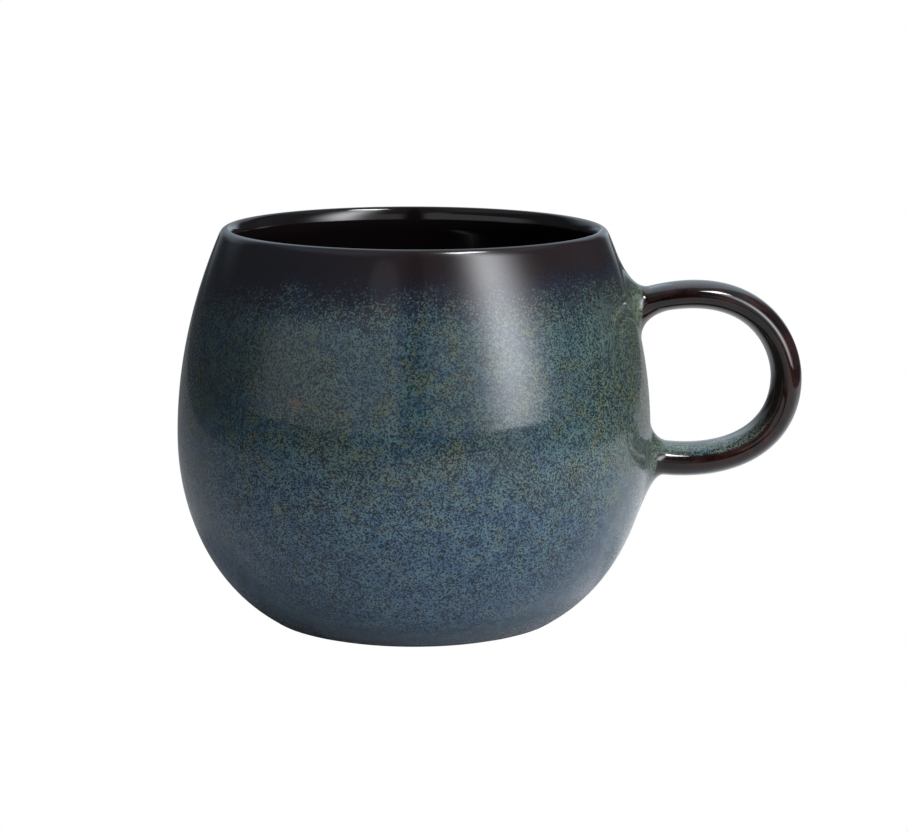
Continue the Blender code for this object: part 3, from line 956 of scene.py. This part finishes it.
def paintWorld():
    # white to the camera; to the glaze, a dim room with a soft-edged scrim at the right front
    world = bpy.data.worlds.new("studio")
    bpy.context.scene.world = world
    world.use_nodes = True
    tree = Tree(world.node_tree)
    for node in list(world.node_tree.nodes):
        world.node_tree.nodes.remove(node)
    sky = tree.add("ShaderNodeTexCoord").outputs["Generated"]
    ray = tree.add("ShaderNodeSeparateXYZ", {0: sky})
    x, y, z = ray.outputs
    degree = 180 / math.pi
    turn = tree.times(tree.math("ARCTAN2", x, tree.times(y, -1.0)), degree)
    rise = tree.times(tree.math("ARCSINE", z), degree)

    def band(value, low, high, softLow, softHigh):
        # 1 between two angles, each edge as soft as its own angle
        up = tree.ramp(value, low - softLow, low + softLow)
        down = tree.ramp(value, high - softHigh, high + softHigh, 1.0, 0.0)
        return tree.times(up, down)

    def bell(off, width):
        share = tree.math("DIVIDE", off, width)
        return tree.math("EXPONENT", tree.times(tree.times(share, share), -0.5))

    # the scrim leans: its middle swings to the front as it rises
    middle = tree.ramp(
        rise, 16.0, 38.0, studio["scrimTurn"], studio["scrimTopTurn"], smooth=False
    )
    off = tree.minus(turn, middle)
    rightSide = tree.math("GREATER_THAN", off, 0.0)
    width = tree.add("ShaderNodeMix", {
        0: rightSide, 2: studio["scrimLeftWidth"], 3: studio["scrimRightWidth"],
    }).outputs[0]
    fade = tree.times(tree.ramp(rise, -23.0, 20.0), tree.ramp(rise, 26.0, 60.0, 1.0, 0.50))
    fade = tree.times(fade, tree.ramp(rise, 60.0, 72.0, 1.0, 0.0))
    scrim = tree.times(bell(off, width), fade)
    light = tree.times(scrim, studio["scrimLight"])

    def shine(mask, strength):
        nonlocal light
        light = tree.math("MULTIPLY_ADD", mask, strength, light)

    # the room, darker at the left behind and straight behind the camera
    strip = tree.ramp(tree.math("ABSOLUTE", tree.minus(turn, 0.5)), 3.0, 7.0)
    behind = tree.times(
        tree.ramp(turn, -140.0, -90.0, 0.35, 1.0), tree.ramp(turn, 112.0, 138.0, 1.0, 0.4)
    )
    roomShare = tree.times(behind, strip)
    shine(roomShare, studio["room"])
    shine(tree.times(tree.ramp(turn, -118.0, -142.0), band(rise, 12, 40, 6, 10)), 0.32)
    # a grey wall at the left front, whose top edge climbs towards the middle
    top = tree.ramp(turn, -90.0, -13.0, 15.0, 30.0, smooth=False)
    underTop = tree.ramp(tree.minus(rise, top), -2.0, 2.0, 1.0, 0.0)
    shine(tree.times(band(turn, -80, -7, 12, 3), underTop), studio["leftWall"])
    shine(tree.times(band(turn, 8, 34, 4, 10), band(rise, -30, 26, 5, 5)), 0.55)
    shine(tree.times(band(turn, 155, 200, 7, 5), band(rise, -30, 22, 8, 8)), 0.58)
    shine(tree.times(band(turn, -200, -158, 5, 12), band(rise, -30, 30, 8, 12)), 0.30)
    # a weak round glow high at the left
    sideOff = tree.math("POWER", tree.plus(turn, 18.0), 2.0)
    riseOff = tree.math("POWER", tree.minus(rise, 33.0), 2.0)
    glowOff = tree.plus(tree.times(sideOff, 0.35), riseOff)
    shine(tree.ramp(glowOff, 12.0, 42.0, 1.0, 0.0), 0.32)
    aside = tree.math("ABSOLUTE", turn)
    # the white wall behind, which the top of the handle and the lip's crest catch
    shine(tree.times(tree.ramp(aside, 138, 152), band(rise, 24, 76, 9, 6)), studio["backWall"])
    sideCeiling = tree.times(band(rise, 44, 120, 8, 5), tree.ramp(aside, 12, 50, 0.1, 1.0))
    shine(sideCeiling, studio["ceiling"])

    onCamera = tree.add("ShaderNodeLightPath").outputs["Is Camera Ray"]
    seen = tree.add("ShaderNodeMix", {0: onCamera, 2: light, 3: 1.0}).outputs[0]
    # the light is a little cool, and cooler from behind
    tint = tree.mixColour(tree.ramp(aside, 70.0, 140.0), (0.97, 1.0, 1.05), (0.86, 1.0, 1.13))
    tint = tree.mixColour(onCamera, tint, (1.0, 1.0, 1.0))
    background = tree.add("ShaderNodeBackground", {"Color": tint, "Strength": seen})
    output = tree.add("ShaderNodeOutputWorld")
    tree.put(output.inputs["Surface"], background.outputs[0])


board = {
    "side": 0.33,  # in metres from the cup's axis
    "front": 0.50,
    "back": 0.13,
    "edge": 0.012,  # how softly its edges fade
    "backEdge": 0.1,
    "white": 0.66,
}


def layFloor():
    # a white board of limited size lies round the cup; past it the floor is dim
    mesh = bpy.data.meshes.new("floor")
    reach = 6.0
    corners = [(-reach, -reach, 0), (reach, -reach, 0), (reach, reach, 0), (-reach, reach, 0)]
    mesh.from_pydata(corners, [], [(0, 1, 2, 3)])
    floor = bpy.data.objects.new("floor", mesh)
    floor.location = (0, 0, -0.05 * mm)
    bpy.context.scene.collection.objects.link(floor)
    material = bpy.data.materials.new("paleFloor")
    material.use_nodes = True
    tree = Tree(material.node_tree)
    for node in list(material.node_tree.nodes):
        material.node_tree.nodes.remove(node)
    place = tree.add("ShaderNodeTexCoord").outputs["Object"]
    parts = tree.add("ShaderNodeSeparateXYZ", {0: place})
    x, y = parts.outputs["X"], parts.outputs["Y"]
    side, front, back = board["side"], -board["front"], board["back"]
    edge, backEdge = board["edge"], board["backEdge"]
    inX = tree.times(
        tree.ramp(x, axisX - side - edge, axisX - side + edge),
        tree.ramp(x, axisX + side - edge, axisX + side + edge, 1.0, 0.0),
    )
    inY = tree.times(
        tree.ramp(y, front - edge, front + edge),
        tree.ramp(y, back - backEdge, back + backEdge, 1.0, 0.45),
    )
    # painted shade: the board's tone is painted darker towards its left, standing in for shade
    # there
    shade = tree.ramp(x, axisX - 0.16, axisX + 0.10, 0.35, 1.0)
    lit = tree.times(tree.times(inX, inY), shade)
    tone = tree.ramp(lit, 0.0, 1.0, 0.06, board["white"], smooth=False)
    grey = tree.add("ShaderNodeCombineXYZ", {"X": tone, "Y": tone, "Z": tone}).outputs[0]
    matt = tree.add("ShaderNodeBsdfDiffuse", {"Color": grey})
    white = tree.add("ShaderNodeEmission", {"Color": (1, 1, 1, 1), "Strength": 1.0})
    onCamera = tree.add("ShaderNodeLightPath").outputs["Is Camera Ray"]
    both = tree.add(
        "ShaderNodeMixShader", {0: onCamera, 1: matt.outputs[0], 2: white.outputs[0]}
    )
    output = tree.add("ShaderNodeOutputMaterial")
    tree.put(output.inputs["Surface"], both.outputs[0])
    mesh.materials.append(material)


def hangLamp(name, turn, rise, distance, wide, high, radiance):
    # a soft lamp at a turn from the camera's side, aimed at the cup
    lamp = bpy.data.objects.new(name, bpy.data.lights.new(name, "AREA"))
    bpy.context.scene.collection.objects.link(lamp)
    lamp.data.shape = "RECTANGLE"
    lamp.data.size = wide
    lamp.data.size_y = high
    lamp.data.energy = radiance * math.pi * wide * high
    aim = Vector((axisX, axisY, cupHeight / 2))
    turn, rise = math.radians(turn), math.radians(rise)
    flat = math.cos(rise)
    away = Vector((math.sin(turn) * flat, -math.cos(turn) * flat, math.sin(rise)))
    lamp.location = aim + away * distance
    lamp.rotation_mode = "QUATERNION"
    lamp.rotation_quaternion = away.to_track_quat("Z", "Y")


paintWorld()
layFloor()
hangLamp("keyLamp", turn=54, rise=67, distance=1.0, wide=0.27, high=0.18, radiance=30.0)
bpy.context.scene.view_settings.view_transform = "Standard"
print("studio set")
